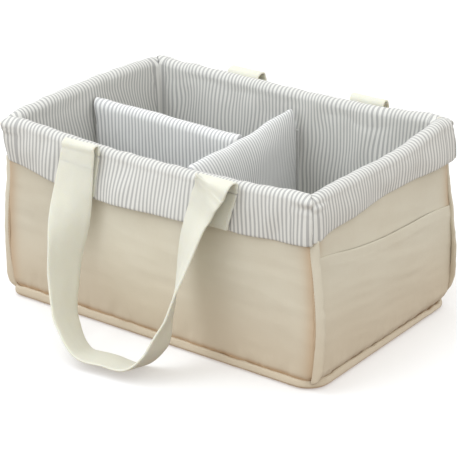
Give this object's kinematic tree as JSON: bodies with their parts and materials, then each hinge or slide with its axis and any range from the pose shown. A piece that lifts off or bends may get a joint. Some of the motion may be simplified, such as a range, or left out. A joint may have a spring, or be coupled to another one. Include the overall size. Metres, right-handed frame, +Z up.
{
  "type": "diaper caddy",
  "caption": "Padded open-topped fabric caddy with a turned striped lining, lift-out dividers forming three compartments, end pockets and two webbing carrying straps.",
  "frame": {"origin": "centre of the object's box on the surface that it stands on", "axes": "+Z up, X along the caddy's length with +X at the end whose pocket the picture shows, -Y at the long side whose strap hangs in front"},
  "size_m": [0.3886, 0.3904, 0.19],
  "materials": {
    "canvas": "plain-woven cotton canvas, matte, warm sand beige",
    "striped_cotton": "plain-woven cotton with narrow grey stripes on off-white, matte",
    "cotton_webbing": "heavy ribbed cotton webbing, matte, natural cream",
    "wadding": "soft foam sheet, unseen inside the walls",
    "stiff_board": "thin stiff sheet, unseen inside the bottom",
    "hook_and_loop": "hook-and-loop tape, off-white pile"
  },
  "bodies": {
    "caddy": {"front_panel": "canvas", "front_pad": "wadding", "front_lining": "striped_cotton", "right_panel": "canvas", "right_pad": "wadding", "right_lining": "striped_cotton", "back_panel": "canvas", "back_pad": "wadding", "back_lining": "striped_cotton", "left_panel": "canvas", "left_pad": "wadding", "left_lining": "striped_cotton", "base_panel": "canvas", "base_board": "stiff_board", "base_pad": "wadding", "floor_lining": "striped_cotton", "base_flange": "canvas", "front_left_welt": "canvas", "front_right_welt": "canvas", "back_left_welt": "canvas", "back_right_welt": "canvas", "right_pocket": "canvas", "left_pocket": "canvas", "front_left_strap_end": "cotton_webbing", "front_right_strap_end": "cotton_webbing", "back_left_strap_end": "cotton_webbing", "back_right_strap_end": "cotton_webbing", "front_loop_tape": "hook_and_loop", "back_loop_tape": "hook_and_loop", "left_loop_tape": "hook_and_loop"},
    "front_strap": {"front_handle": "cotton_webbing"},
    "back_strap": {"back_handle": "cotton_webbing"},
    "cross_divider": {"cross_divider_cover": "striped_cotton", "cross_divider_board": "wadding", "cross_divider_front_hook": "hook_and_loop", "cross_divider_back_hook": "hook_and_loop", "cross_divider_loop_tape": "hook_and_loop"},
    "long_divider": {"long_divider_cover": "striped_cotton", "long_divider_board": "wadding", "long_divider_left_hook": "hook_and_loop", "long_divider_right_hook": "hook_and_loop"}
  },
  "joints": [
    {"name": "front_strap_swing", "type": "hinge", "parent": "caddy", "child": "front_strap", "pos_m": [-0.004, -0.1227, 0.1905], "axis": [-1, 0, 0], "range_deg": [0, 165]},
    {"name": "back_strap_swing", "type": "hinge", "parent": "caddy", "child": "back_strap", "pos_m": [0.009, 0.1227, 0.1905], "axis": [1, 0, 0], "range_deg": [0, 165]},
    {"name": "cross_divider_lift", "type": "slide", "parent": "caddy", "child": "cross_divider", "axis": [0, 0, 1], "range_m": [0, 0.185]},
    {"name": "long_divider_lift", "type": "slide", "parent": "caddy", "child": "long_divider", "axis": [0, 0, 1], "range_m": [0, 0.185]}
  ]
}
